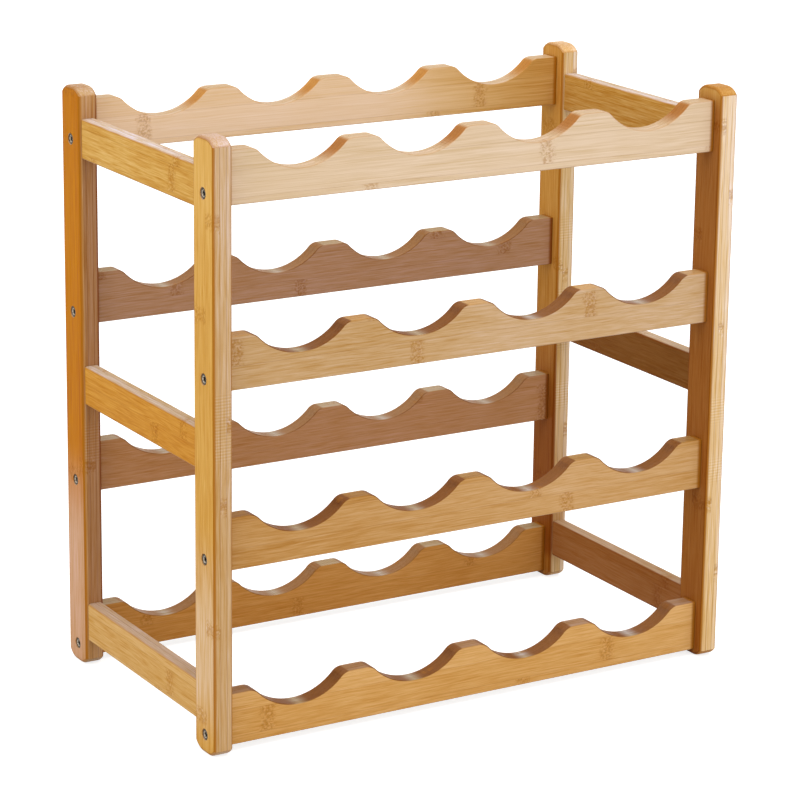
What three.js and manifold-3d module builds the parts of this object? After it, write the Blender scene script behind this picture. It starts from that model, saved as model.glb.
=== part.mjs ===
// A knock-down bamboo wine rack for sixteen bottles: four posts, eight scalloped bottle rails and
// six side rails, joined by tenons and dowels and drawn together by sixteen hex-socket screws.
// Millimetres. X runs along the width, Y from the front to the back and Z up. The floor is z = 0,
// and the origin is on the floor at the middle of the rack.
import * as THREE from 'three';
import { mergeVertices } from 'three/addons/utils/BufferGeometryUtils.js';
import Module from 'manifold-3d';

const wasm = await Module();
wasm.setup();

// ---- Layout ----
const tierCount = 4;
const tierPitch = 129.3;
const cradleCount = 4;
const cradlePitch = 95.4;
const cradleInset = 57.6; // from the end of a bottle rail to the middle of its first cradle
const rackDepth = 240;
const floorGap = 5.1; // under the lowest bottle rails
const postReach = 9.8; // above the highest bottle rails

// ---- Posts ----
const postThickness = 14.7;
const postWidth = 30.5;
const postEdgeRadius = 2.5;
const archRise = 5.6;
const footFlat = 8; // the level stretch in the middle of each arched end

// ---- Bottle rails ----
const bottleRailThickness = 13.5;
const bottleRailHeight = 38.2;
const bottleRailEasing = 0.8;
const cradleDepth = 17.1;
const cradleRadius = 46;
const shoulderRadius = 10;

// ---- Side rails ----
const sideRailThickness = 11;
const sideRailHeight = 29.4;
const sideRailCorner = 1.6;
const sideRailFloorGap = 20.3; // under the lowest side rails
const sideRailDrop = 22.1; // from the top of the posts to the highest side rails

// ---- Tenons and dowels ----
const jointGap = 0.3;
const sawWaste = 2; // how far a cutter or an uncut blank runs past the wood
const tenonLength = 8;
const tenonThickness = 5;
const tenonHeight = 18;
const tenonCorner = 1.5;
const dowelDiameter = 6;
const dowelLength = 20;
const dowelInPost = 6.5;
const dowelChamfer = 0.8;
const dowelDrop = 10.8; // from the top of a bottle rail to its dowels

// ---- Screws ----
const screwRise = 9; // from the bottom of a bottle rail to its screws
const headDiameter = 7.6;
const headHeight = 2.6;
const headChamfer = 0.4;
const headSink = 0.5; // below the outer face of the post
const shankDiameter = 4.6;
const screwLength = 42;
const screwPoint = 4;
const socketWidth = 4.2; // across the flats
const socketDepth = 2;

// ---- Steps of the curves ----
const archSteps = 5;
const postEdgeSteps = 2;
const troughSteps = 10;
const shoulderSteps = 3;
const cornerSteps = 2;
const roundSides = 12;
const hexSides = 6;
const mergeDistance = 1e-5;

// ---- Sizes that follow ----
const bottleRailLength = 2 * cradleInset + (cradleCount - 1) * cradlePitch;
const rackWidth = bottleRailLength + 2 * (jointGap + postThickness);
const rackHeight = floorGap + (tierCount - 1) * tierPitch + bottleRailHeight + postReach;
const postX = (rackWidth - postThickness) / 2;
const postY = (rackDepth - postWidth) / 2;
const headBore = headDiameter + 2 * jointGap;
const shankBore = shankDiameter + 2 * jointGap;
const dowelBore = dowelDiameter + 2 * jointGap;
const screwInRail = screwLength + headSink - postThickness - jointGap;
const dowelInRail = dowelLength - dowelInPost - jointGap;
const sideRailLength = rackDepth - 2 * (postWidth + jointGap);
const lowestSideRail = sideRailFloorGap + sideRailHeight / 2;
const highestSideRail = rackHeight - sideRailDrop - sideRailHeight / 2;
const sideRailHeights = [lowestSideRail, (lowestSideRail + highestSideRail) / 2, highestSideRail];
const levelNames = ['bottom', 'middle', 'top'];
const sideSigns = { left: -1, right: 1 };
const faceSigns = { front: -1, back: 1 };
const tierHeights = Array.from({ length: tierCount }, (_, tier) => floorGap + tier * tierPitch);

// ---- Finishes ----
const paleBamboo = { color: '#e0bd8e', roughness: 0.45, metalness: 0 };
const honeyBamboo = { color: '#d9a75c', roughness: 0.42, metalness: 0 };
const amberBamboo = { color: '#cd8a3a', roughness: 0.4, metalness: 0 };
const beechPeg = { color: '#cfa878', roughness: 0.75, metalness: 0 };
const brightSteel = { color: '#a8a49c', roughness: 0.3, metalness: 1 };

// ---- Outlines ----
// Points of an arc about (x, y). Angles run anticlockwise from +x.
function arcPoints(x, y, radius, from, to, steps) {
  return Array.from({ length: steps + 1 }, (_, i) => {
    const angle = from + ((to - from) * i) / steps;
    return new THREE.Vector2(x + radius * Math.cos(angle), y + radius * Math.sin(angle));
  });
}

function roundedRectangle(width, height, corner) {
  const x = width / 2 - corner;
  const y = height / 2 - corner;
  const centres = [[x, -y], [x, y], [-x, y], [-x, -y]];
  return centres.flatMap(([cx, cy], quarter) => {
    const from = (quarter - 1) * Math.PI / 2;
    return arcPoints(cx, cy, corner, from, from + Math.PI / 2, cornerSteps);
  });
}

// The right half of an arched post end, from the level stretch out to the crease at the edge. The
// tip of the arch is at height 0, and the whole curve is drawn in by the easing.
function archPoints(easing) {
  const run = (postWidth - footFlat) / 2;
  const radius = (run * run + archRise * archRise) / (2 * archRise);
  const crease = Math.acos((run - easing) / (radius - easing));
  return arcPoints(footFlat / 2, -radius, radius - easing, Math.PI / 2, crease, archSteps);
}

// The side view of a post, centred on its middle and drawn in by the easing.
function postOutline(easing) {
  const outward = archPoints(easing);
  const inward = outward.toReversed();
  const quadrant = (points, signY, signZ) => points.map(
    ({ x, y }) => new THREE.Vector2(signY * x, signZ * (rackHeight / 2 + y)),
  );
  return [
    ...quadrant(inward, 1, 1),
    ...quadrant(outward, -1, 1),
    ...quadrant(inward, -1, -1),
    ...quadrant(outward, 1, -1),
  ];
}

// One cradle, from the crest on its left to the crest on its right: a shoulder, the trough that the
// bottle lies in, and the other shoulder. Each arc leaves the one before it without a corner.
function cradlePoints(middle, crest, easing) {
  const rise = cradleRadius - cradleDepth + shoulderRadius;
  const reach = cradleRadius + shoulderRadius;
  const slope = Math.acos(rise / reach);
  const up = Math.PI / 2;
  const halfSpan = reach * Math.sin(slope);
  const shoulderY = crest - shoulderRadius;
  const troughY = crest - cradleDepth + cradleRadius;
  const shoulder = (x, from, to) => arcPoints(
    x, shoulderY, shoulderRadius - easing, up + from, up + to, shoulderSteps,
  );
  const trough = arcPoints(
    middle, troughY, cradleRadius + easing, -up - slope, -up + slope, troughSteps,
  );
  return [
    ...shoulder(middle - halfSpan, 0, -slope),
    ...trough.slice(1, -1),
    ...shoulder(middle + halfSpan, slope, 0),
  ];
}

// The front view of a bottle rail, centred on its middle and resting on height 0. Its square ends
// are sawn later, so the outline runs past them.
function bottleRailOutline(easing) {
  const end = bottleRailLength / 2 + sawWaste;
  const cradles = Array.from({ length: cradleCount }, (_, i) => cradlePoints(
    cradleInset + i * cradlePitch - bottleRailLength / 2, bottleRailHeight, easing,
  ));
  return [
    new THREE.Vector2(end, easing),
    new THREE.Vector2(end, bottleRailHeight - easing),
    ...cradles.flat().reverse(),
    new THREE.Vector2(-end, bottleRailHeight - easing),
    new THREE.Vector2(-end, easing),
  ];
}

// ---- Solids ----
const outlineOnYZ = new THREE.Matrix4().makeBasis(
  new THREE.Vector3(0, 1, 0),
  new THREE.Vector3(0, 0, 1),
  new THREE.Vector3(1, 0, 0),
);
const outlineOnXZ = new THREE.Matrix4().makeBasis(
  new THREE.Vector3(1, 0, 0),
  new THREE.Vector3(0, 0, 1),
  new THREE.Vector3(0, -1, 0),
);

// A slab of an outline, centred on its thickness. The rim stands out from the outline by the
// easing, which rounds the arrises between the rim and the two faces.
function slab(points, thickness, easing = 0, easingSteps = 1) {
  const geometry = new THREE.ExtrudeGeometry(new THREE.Shape(points), {
    depth: thickness - 2 * easing,
    bevelEnabled: easing > 0,
    bevelThickness: easing,
    bevelSize: easing,
    bevelSegments: easingSteps,
  });
  return geometry.translate(0, 0, easing - thickness / 2);
}

// A bar of rounded rectangular section, lying along Y.
function barAlongY(thickness, height, corner, length) {
  return slab(roundedRectangle(thickness, height, corner), length).applyMatrix4(outlineOnXZ);
}

// A round body about the X axis, from pairs of radius and place along +X.
function turnedAlongX(profile, sides = roundSides) {
  const points = profile.map(([radius, along]) => new THREE.Vector2(radius, along));
  return new THREE.LatheGeometry(points, sides).rotateZ(-Math.PI / 2);
}

function cylinderAlongX(diameter, start, end, sides = roundSides) {
  const [low, high] = [Math.min(start, end), Math.max(start, end)];
  const radius = diameter / 2;
  return turnedAlongX([[0, low], [radius, low], [radius, high], [0, high]], sides);
}

function solidOf(geometry) {
  const bare = geometry.clone();
  bare.deleteAttribute('normal');
  bare.deleteAttribute('uv');
  const merged = mergeVertices(bare, mergeDistance);
  return new wasm.Manifold(new wasm.Mesh({
    numProp: 3,
    vertProperties: new Float32Array(merged.attributes.position.array),
    triVerts: new Uint32Array(merged.index.array),
  }));
}

function geometryOf(solid) {
  const { vertProperties, triVerts } = solid.getMesh();
  const geometry = new THREE.BufferGeometry();
  geometry.setAttribute('position', new THREE.BufferAttribute(vertProperties, 3));
  geometry.setIndex(new THREE.BufferAttribute(triVerts, 1));
  geometry.computeVertexNormals();
  return geometry;
}

function cutFrom(blank, tools) {
  return geometryOf(tools.reduce((solid, tool) => solid.subtract(solidOf(tool)), solidOf(blank)));
}

// ---- Pieces, each about its own middle ----
// The side and face signs say which corner of the rack a post is for: the screws come in through
// its outer face, the dowels sit in its inner one, and the mortises for the side rails are in the
// edge that looks at the other post of the same side.
function postGeometry(side, face) {
  const outline = postOutline(postEdgeRadius);
  const blank = slab(outline, postThickness, postEdgeRadius, postEdgeSteps);
  const outer = side * postThickness / 2;
  const headFloor = outer - side * (headSink + headHeight + jointGap);
  const past = side * sawWaste;
  const cuts = [];
  for (const bottom of tierHeights) {
    const screwZ = bottom + screwRise - rackHeight / 2;
    const dowelZ = bottom + bottleRailHeight - dowelDrop - rackHeight / 2;
    const dowelFloor = -outer + side * (dowelInPost + jointGap);
    cuts.push(cylinderAlongX(headBore, headFloor, outer + past).translate(0, 0, screwZ));
    cuts.push(cylinderAlongX(shankBore, -outer - past, outer + past).translate(0, 0, screwZ));
    cuts.push(cylinderAlongX(dowelBore, -outer - past, dowelFloor).translate(0, 0, dowelZ));
  }
  for (const height of sideRailHeights) {
    const mortise = barAlongY(
      tenonThickness + 2 * jointGap,
      tenonHeight + 2 * jointGap,
      tenonCorner + jointGap,
      2 * (tenonLength + jointGap),
    );
    cuts.push(mortise.translate(0, -face * postWidth / 2, height - rackHeight / 2));
  }
  return cutFrom(blank.applyMatrix4(outlineOnYZ), cuts);
}

// A bottle rail rests on height 0 of its own frame.
function bottleRailGeometry() {
  const outline = bottleRailOutline(bottleRailEasing);
  const blank = slab(outline, bottleRailThickness, bottleRailEasing).applyMatrix4(outlineOnXZ);
  const cuts = [];
  for (const side of [-1, 1]) {
    const end = side * bottleRailLength / 2;
    const past = side * 2 * sawWaste;
    const screwFloor = end - side * (screwInRail + jointGap);
    const dowelFloor = end - side * (dowelInRail + jointGap);
    const dowelZ = bottleRailHeight - dowelDrop;
    const saw = new THREE.BoxGeometry(Math.abs(past), 2 * bottleRailThickness, 2 * bottleRailHeight);
    cuts.push(saw.translate(end + past / 2, 0, bottleRailHeight / 2));
    cuts.push(cylinderAlongX(shankBore, screwFloor, end + past).translate(0, 0, screwRise));
    cuts.push(cylinderAlongX(dowelBore, dowelFloor, end + past).translate(0, 0, dowelZ));
  }
  return cutFrom(blank, cuts);
}

function sideRailGeometry() {
  const body = barAlongY(sideRailThickness, sideRailHeight, sideRailCorner, sideRailLength);
  const tenonSpan = sideRailLength + 2 * tenonLength;
  const tenons = barAlongY(tenonThickness, tenonHeight, tenonCorner, tenonSpan);
  return geometryOf(solidOf(body).add(solidOf(tenons)));
}

// A screw lies along +X, with the top of its head at x = 0 and its point at -screwLength.
function screwGeometry() {
  const head = headDiameter / 2;
  const shank = shankDiameter / 2;
  const body = turnedAlongX([
    [0, -screwLength],
    [shank, -screwLength + screwPoint],
    [shank, -headHeight],
    [head, -headHeight],
    [head, -headChamfer],
    [head - headChamfer, 0],
    [0, 0],
  ]);
  const acrossCorners = socketWidth / Math.cos(Math.PI / hexSides);
  return cutFrom(body, [cylinderAlongX(acrossCorners, -socketDepth, socketDepth, hexSides)]);
}

// A dowel lies along X, centred on its length.
function dowelGeometry() {
  const radius = dowelDiameter / 2;
  const half = dowelLength / 2;
  return turnedAlongX([
    [0, -half],
    [radius - dowelChamfer, -half],
    [radius, -half + dowelChamfer],
    [radius, half - dowelChamfer],
    [radius - dowelChamfer, half],
    [0, half],
  ]);
}

// ---- Assembly ----
const rack = new THREE.Group();

function place(name, geometry, finish, x, y, z) {
  const mesh = new THREE.Mesh(geometry, new THREE.MeshStandardMaterial(finish));
  mesh.name = name;
  mesh.position.set(x, y, z);
  rack.add(mesh);
  return mesh;
}

const bottleRail = bottleRailGeometry();
const sideRail = sideRailGeometry();
const screw = screwGeometry();
const dowel = dowelGeometry();
const screwX = rackWidth / 2 - headSink;
const dowelX = rackWidth / 2 - postThickness + dowelInPost - dowelLength / 2;

for (const [sideName, side] of Object.entries(sideSigns)) {
  for (const [faceName, face] of Object.entries(faceSigns)) {
    const corner = `${faceName}_${sideName}`;
    const y = face * postY;
    place(`post_${corner}`, postGeometry(side, face), amberBamboo, side * postX, y, rackHeight / 2);
    tierHeights.forEach((bottom, tier) => {
      const screwMesh = place(
        `screw_${corner}_${tier + 1}`, screw, brightSteel, side * screwX, y, bottom + screwRise,
      );
      screwMesh.rotation.z = side < 0 ? Math.PI : 0;
      const dowelZ = bottom + bottleRailHeight - dowelDrop;
      place(`dowel_${corner}_${tier + 1}`, dowel, beechPeg, side * dowelX, y, dowelZ);
    });
  }
  sideRailHeights.forEach((height, level) => {
    place(`side_rail_${sideName}_${levelNames[level]}`, sideRail, honeyBamboo, side * postX, 0, height);
  });
}
for (const [faceName, face] of Object.entries(faceSigns)) {
  tierHeights.forEach((bottom, tier) => {
    place(`bottle_rail_${faceName}_${tier + 1}`, bottleRail, paleBamboo, 0, face * postY, bottom);
  });
}

export default rack;
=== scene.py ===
# A knock-down bamboo wine rack for sixteen bottles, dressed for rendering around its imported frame.
# Metres. X runs along the width, Y from the front to the back and Z up, and the floor is z = 0.
import math
from collections import namedtuple

import bmesh
import bpy
from bpy.props import FloatProperty, FloatVectorProperty, IntProperty, PointerProperty
from mathutils import Matrix, Vector


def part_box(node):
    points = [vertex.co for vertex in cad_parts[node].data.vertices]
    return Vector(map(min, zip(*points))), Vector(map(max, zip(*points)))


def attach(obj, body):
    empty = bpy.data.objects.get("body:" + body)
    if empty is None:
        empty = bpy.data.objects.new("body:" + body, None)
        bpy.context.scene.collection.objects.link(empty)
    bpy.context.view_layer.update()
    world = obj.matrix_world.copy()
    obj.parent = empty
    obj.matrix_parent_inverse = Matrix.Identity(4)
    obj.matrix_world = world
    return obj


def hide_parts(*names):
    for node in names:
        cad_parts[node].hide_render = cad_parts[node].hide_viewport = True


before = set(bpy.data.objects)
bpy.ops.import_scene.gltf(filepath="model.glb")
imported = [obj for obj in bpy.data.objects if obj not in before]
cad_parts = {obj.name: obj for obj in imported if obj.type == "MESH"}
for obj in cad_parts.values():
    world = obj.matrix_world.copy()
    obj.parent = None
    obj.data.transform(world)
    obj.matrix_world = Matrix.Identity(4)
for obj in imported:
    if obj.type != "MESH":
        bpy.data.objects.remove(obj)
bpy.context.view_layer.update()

bl_info = {
    "name": "Bamboo Wine Rack",
    "version": (1, 0, 0),
    "blender": (4, 5, 0),
    "location": "3D View > Sidebar > Wine Rack",
    "description": "Builds a laminated bamboo wine rack around its packed frame",
    "category": "Add Mesh",
}

MM = 0.001
SIDES = {"left": -1, "right": 1}
FACES = {"front": -1, "back": 1}
LEVELS = ("bottom", "middle", "top")
TIERS = sum(name.startswith("bottle_rail_front_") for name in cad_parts)
RUN_PAST = 2 * MM  # how far a cutter runs past the face that it opens
NUDGE = 0.0001  # keeps a whole number from being rounded down
SHARP_ANGLE = math.radians(28)  # edges that turn by more are shaded sharp
QUARTER_TURN = math.pi / 2
FULL_TURN = 2 * math.pi
AXIS = {"x": Vector((1, 0, 0)), "y": Vector((0, 1, 0)), "z": Vector((0, 0, 1))}


def middle_and_size(node):
    """The middle and the size of a CAD node's box."""
    low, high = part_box(node)
    return (low + high) / 2, high - low


POST_SIZE = middle_and_size("post_front_left")[1]
SIDE_RAIL_SIZE = middle_and_size("side_rail_left_bottom")[1]
SCREW_SIZE = middle_and_size("screw_front_left_1")[1]
DOWEL_SIZE = middle_and_size("dowel_front_left_1")[1]


# ---- Sizes and colours that a user may change ----
def length(name, millimetres, description):
    return FloatProperty(
        name=name, description=description, default=millimetres * MM, min=0, unit="LENGTH", precision=5
    )


def count(name, default, description):
    return IntProperty(name=name, description=description, default=default, min=1)


def degrees(name, default, description):
    return FloatProperty(
        name=name, description=description, default=math.radians(default), subtype="ANGLE"
    )


def seed_value(name, default, description):
    return FloatProperty(name=name, description=description, default=default, min=0)


def colour(name, code, description):
    """A colour property whose default is a screen colour such as d9a75c, made linear."""
    levels = [int(code[i:i + 2], 16) / 255 for i in (0, 2, 4)]
    linear = [v / 12.92 if v <= 0.04045 else ((v + 0.055) / 1.055) ** 2.4 for v in levels]
    return FloatVectorProperty(
        name=name, description=description, default=(*linear, 1), size=4, min=0, max=1, subtype="COLOR"
    )


class PostSettings(bpy.types.PropertyGroup):
    edge_radius: length("Edge Radius", 2.5, "Rounding of a post's long edges")
    arch_rise: length("Arch Rise", 5.6, "Height of the arch on each end of a post")
    foot_flat: length("Foot Flat", 8, "Level stretch in the middle of an arched end")
    edge_steps: count("Edge Steps", 6, "Facets across a rounded edge")
    arch_steps: count("Arch Steps", 18, "Facets along each half of an arch")


class BottleRailSettings(bpy.types.PropertyGroup):
    cradle_count: count("Cradles", 4, "Bottles side by side on a rail")
    cradle_pitch: length("Cradle Pitch", 95.4, "From one cradle's middle to the next")
    cradle_radius: length("Cradle Radius", 46, "Radius of a trough that a bottle lies in")
    cradle_depth: length("Cradle Depth", 17.1, "From a crest down to the bottom of a trough")
    shoulder_radius: length("Shoulder Radius", 10, "Rounding from a crest into a trough")
    easing: length("Easing", 0.8, "Rounding of the arrises along a rail")
    trough_steps: count("Trough Steps", 40, "Facets along a trough")
    shoulder_steps: count("Shoulder Steps", 8, "Facets along a shoulder")
    easing_steps: count("Easing Steps", 4, "Facets across an eased arris")


class SideRailSettings(bpy.types.PropertyGroup):
    corner: length("Corner", 1.6, "Rounding of a side rail's long edges")
    corner_steps: count("Corner Steps", 6, "Facets across a rounded corner")
    tenon_length: length("Tenon Length", 8, "How far a tenon reaches into a post")
    tenon_thickness: length("Tenon Thickness", 5, "Thickness of a tenon")
    tenon_height: length("Tenon Height", 18, "Height of a tenon")
    tenon_corner: length("Tenon Corner", 1.5, "Rounding of a tenon's edges")


class FastenerSettings(bpy.types.PropertyGroup):
    clearance: length("Clearance", 0.3, "Room all round a screw, dowel or tenon")
    mouth: length("Mouth", 0.25, "Chamfer on the mouth of a screw's hole")
    head_height: length("Head Height", 2.6, "Height of a screw's head")
    head_rounding: length("Head Rounding", 0.6, "Rounding of the rim of a screw's head")
    rounding_steps: count("Rounding Steps", 4, "Facets across the rounded rim of a head")
    shank_diameter: length("Shank Diameter", 4.6, "Across the crests of a screw's thread")
    thread_depth: length("Thread Depth", 0.45, "From the crests of the thread to its roots")
    thread_pitch: length("Thread Pitch", 1.9, "From one crest of the thread to the next")
    plain_shank: length("Plain Shank", 11, "Shank without a thread, under the head")
    point_length: length("Point Length", 4, "Taper at the end of a screw")
    point_radius: length("Point Radius", 0.2, "Blunt tip of a screw")
    socket_width: length("Socket Width", 4.2, "Across the flats of the hexagon socket")
    socket_depth: length("Socket Depth", 2, "Depth of the hexagon socket")
    socket_bevel: length("Socket Bevel", 0.2, "Bevel round the mouth of the socket")
    drill_cone: length("Drill Cone", 0.25, "Depth of the cone at the bottom of the socket")
    dowel_chamfer: length("Dowel Chamfer", 0.8, "Chamfer on the ends of a dowel")
    flute_depth: length("Flute Depth", 0.18, "Depth of the glue flutes along a dowel")
    flute_count: count("Flutes", 16, "Glue flutes round a dowel")
    turned_sides: count("Turned Sides", 48, "Facets round a screw or dowel")


class FinishSettings(bpy.types.PropertyGroup):
    front_left_post: colour("Front Left Post", "d7a450", "Broad sides of the front left post")
    front_right_post: colour("Front Right Post", "d7a450", "Broad sides of the front right post")
    back_left_post: colour("Back Left Post", "bb6f04", "Broad sides of the back left post")
    back_right_post: colour("Back Right Post", "c98f40", "Broad sides of the back right post")
    front_left_edge: colour("Front Left Edges", "d2aa79", "Narrow faces of the front left post")
    front_right_edge: colour("Front Right Edges", "f0cea0", "Narrow faces of the front right post")
    # Given darker in part as painted shade on the back left post's front face.
    back_left_edge: colour("Back Left Edges", "c49562", "Narrow faces of the back left post")
    back_right_edge: colour("Back Right Edges", "e2c294", "Narrow faces of the back right post")
    front_left_end: colour("Front Left Ends", "ceab88", "Arched ends of the front left post")
    front_right_end: colour("Front Right Ends", "c48c42", "Arched ends of the front right post")
    back_left_end: colour("Back Left Ends", "c6a37c", "Arched ends of the back left post")
    back_right_end: colour("Back Right Ends", "dfb682", "Arched ends of the back right post")
    # Painted floor reflection: the tone that the posts' outer broad sides take near the floor.
    pale_foot: colour("Pale Foot", "e6cdb4", "Tone of the broad sides of the posts near the floor")
    # The top tier is palest: in part the rails' own tones and in part painted light that falls from
    # above.
    front_rail_1: colour("Bottom Front Rail", "e0aa63", "Faces of the first front bottle rail")
    front_rail_2: colour("Second Front Rail", "d1a064", "Faces of the second front bottle rail")
    front_rail_3: colour("Third Front Rail", "d5ae7f", "Faces of the third front bottle rail")
    front_rail_4: colour("Top Front Rail", "e8ccab", "Faces of the top front bottle rail")
    back_rail_1: colour("Bottom Back Rail", "db9f50", "Faces of the first back bottle rail")
    back_rail_2: colour("Second Back Rail", "dfb27a", "Faces of the second back bottle rail")
    back_rail_3: colour("Third Back Rail", "dab78e", "Faces of the third back bottle rail")
    back_rail_4: colour("Top Back Rail", "ddb47e", "Faces of the top back bottle rail")
    # Lit and shaded copies of one bamboo: painted shade darkens the lower crests and the slopes, and
    # painted reflection makes the troughs greyish pale.
    crest_1: colour("Bottom Crests", "a67c54", "Crests of the first tier of front bottle rails")
    crest_2: colour("Second Crests", "ae8144", "Crests of the second tier of front bottle rails")
    crest_3: colour("Third Crests", "c59658", "Crests of the third tier of front bottle rails")
    crest_4: colour("Top Crests", "caab87", "Crests and troughs of the top bottle rails")
    back_crest: colour("Back Crests", "b2966f", "Crests of the lower back bottle rails")
    trough: colour("Troughs", "b5a085", "Bottoms of the lower troughs")
    slope: colour("Slopes", "7a4a22", "Slopes of the lower cradles on the front rails")
    top_slope: colour("Top Slopes", "aa6e30", "Slopes of the cradles on the top rails")
    back_slope: colour("Back Slopes", "94683c", "Slopes of the lower cradles on the back rails")
    back_top_slope: colour("Back Top Slopes", "bd8238", "Slopes of the cradles on the top back rail")
    side_rail_bottom: colour("Bottom Side Rails", "d4a662", "Faces of the lowest side rails")
    side_rail_middle: colour("Middle Side Rails", "cb8b2f", "Faces of the middle side rails")
    side_rail_top: colour("Top Side Rails", "d09d4a", "Faces of the highest side rails")
    # Painted shade: a darker copy of the middle side rails' tone.
    side_rail_shaded: colour("Shaded Side Rail", "b18940", "Faces of the middle rail on the right")
    # Painted light and shade: the rims are palest on the top rails and greyer on the lowest.
    side_rim_bottom: colour("Bottom Side Rims", "b8987a", "Narrow faces of the lowest side rails")
    side_rim_middle: colour("Middle Side Rims", "c4a888", "Narrow faces of the middle side rails")
    side_rim_top: colour("Top Side Rims", "cdb59f", "Narrow faces of the highest side rails")
    # Partly lacquer lying thicker on the rounded edges and partly painted shade, where the edges reflect
    # less light. It also colours the knuckles' speckles and the painted shade at a board's ends.
    arris: colour("Arrises", "a5650f", "Rounded edges, where the lacquer lies thicker")
    # Deepens the real glue lines, and the ends of the boards as painted shade where they meet a post.
    glue_and_joint_shade_tint: colour("Glue And Joint Shade Tint", "a87850", "Deepens the glue lines and the ends of the boards")
    # Painted shade: the sides that face the bottles are tinted darker, as the bottles would shade them.
    inner_shade_tint: colour("Inner Shade Tint", "bd9b8c", "Deepens the sides that face the bottles")
    steel: colour("Steel", "dccfba", "Screws")
    beech: colour("Beech", "cfa878", "Dowels")
    strip_width: length("Strip Width", 19, "Width of one strip of bamboo")
    knuckle_spacing: length("Knuckle Spacing", 290, "From one knuckle of a strip to the next")
    # The heights between which that painted shade comes in, for most boards and for the back right post.
    shade_top: length("Shade Top", 470, "Height at which the inner sides begin to deepen")
    shade_full: length("Shade Full", 400, "Height below which the inner sides have their full tint")
    far_shade_top: length("Far Shade Top", 400, "Height at which the back right post begins to deepen")
    far_shade_full: length("Far Shade Full", 0, "Height below which it has its full tint")
    # The heights between which the painted floor reflection on the posts comes in.
    pale_top: length("Pale Top", 175, "Height at which the posts begin to turn paler")
    pale_full: length("Pale Full", 95, "Height at which the posts are palest")
    post_seed: seed_value("Post Seed", 20.29, "Grain of the first post; each later one adds 1")
    bottle_rail_seed: seed_value("Bottle Rail Seed", 19.86, "Grain of the first bottle rail")
    side_rail_seed: seed_value("Side Rail Seed", 98.88, "Grain of the first side rail")


class StageSettings(bpy.types.PropertyGroup):
    azimuth: degrees("Azimuth", -30.824, "Camera's angle round the rack")
    elevation: degrees("Elevation", 14.967, "Camera's angle above the floor")
    roll: degrees("Roll", 0.734, "Camera's turn about its own axis")
    distance: length("Distance", 2338.8, "From the camera to the point it looks at")
    aim: FloatVectorProperty(
        name="Aim", description="Point the camera looks at", default=(0.0021, 0, 0.2455),
        subtype="TRANSLATION", unit="LENGTH",
    )
    focal_length: FloatProperty(
        name="Focal Length", description="Focal length of the lens in millimetres", default=141.42
    )
    shift: FloatVectorProperty(
        name="Shift", description="Shift of the picture in widths", default=(0, -0.07), size=2
    )
    ambient: FloatProperty(
        name="Ambient", description="Strength of the white room on the rack", default=0.7, min=0
    )


class RackSettings(bpy.types.PropertyGroup):
    posts: PointerProperty(type=PostSettings)
    bottle_rails: PointerProperty(type=BottleRailSettings)
    side_rails: PointerProperty(type=SideRailSettings)
    fasteners: PointerProperty(type=FastenerSettings)
    finish: PointerProperty(type=FinishSettings)
    stage: PointerProperty(type=StageSettings)


# ---- Node trees ----
class Wire:
    """An output socket. Arithmetic on it adds Math nodes to its tree and gives a new Wire."""

    def __init__(self, socket):
        self.socket = socket
        self.tree = socket.id_data

    def math(self, operation, *others, reverse=False):
        """One Math node on this value and the others."""
        values = [self, *others]
        if reverse:
            values.reverse()
        node = add_node(self.tree, "ShaderNodeMath", values, operation=operation)
        return Wire(node.outputs[0])

    def __add__(self, other):
        return self.math("ADD", other)

    def __sub__(self, other):
        return self.math("SUBTRACT", other)

    def __rsub__(self, other):
        return self.math("SUBTRACT", other, reverse=True)

    def __mul__(self, other):
        return self.math("MULTIPLY", other)

    def __truediv__(self, other):
        return self.math("DIVIDE", other)

    __radd__ = __add__
    __rmul__ = __mul__

    def fade(self, start, end):
        """1 where the value is below start, falling smoothly to 0 at end."""
        node = add_node(
            self.tree, "ShaderNodeMapRange", [self, start, end, 1.0, 0.0], interpolation_type="SMOOTHSTEP"
        )
        return Wire(node.outputs[0])


def add_node(tree, kind, values=(), **settings):
    """A new node with its settings and inputs, given in order or by name; a Wire is linked."""
    node = tree.nodes.new(kind)
    for name, value in settings.items():
        setattr(node, name, value)
    pairs = values.items() if isinstance(values, dict) else enumerate(values)
    for key, value in pairs:
        if isinstance(value, Wire):
            tree.links.new(value.socket, node.inputs[key])
        else:
            node.inputs[key].default_value = value
    return node


def new_group(name, kind, inputs, outputs):
    """A node group with its interface, its input Wires by name, and its output node. A socket's
    kind may have a subtype after a space."""
    tree = bpy.data.node_groups.new(name, kind)
    for direction, sockets in (("INPUT", inputs), ("OUTPUT", outputs)):
        for socket_name, socket_kind in sockets.items():
            socket_type, _, subtype = socket_kind.partition(" ")
            socket = tree.interface.new_socket(
                name=socket_name, in_out=direction, socket_type="NodeSocket" + socket_type
            )
            if subtype:
                socket.subtype = subtype
    entry = tree.nodes.new("NodeGroupInput")
    wires = {socket_name: Wire(entry.outputs[socket_name]) for socket_name in inputs}
    return tree, wires, tree.nodes.new("NodeGroupOutput")


def finish_group(tree, output, values):
    """Links the group's outputs by name and lays its nodes out."""
    for name, wire in values.items():
        tree.links.new(wire.socket, output.inputs[name])
    arrange(tree)


def arrange(tree):
    """Lays the nodes out from left to right, each one column past the last node that feeds it."""
    column_width, row_height = 220, 180
    column = {}

    def depth(node):
        if node not in column:
            feeders = [link.from_node for socket in node.inputs for link in socket.links]
            column[node] = 1 + max((depth(feeder) for feeder in feeders), default=0)
        return column[node]

    rows = {}
    for node in tree.nodes:
        row = rows[depth(node)] = rows.get(depth(node), 0) + 1
        node.location = (column_width * column[node], -row_height * row)


def combine(tree, *values):
    """A vector of three values."""
    return Wire(add_node(tree, "ShaderNodeCombineXYZ", values).outputs[0])


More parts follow.
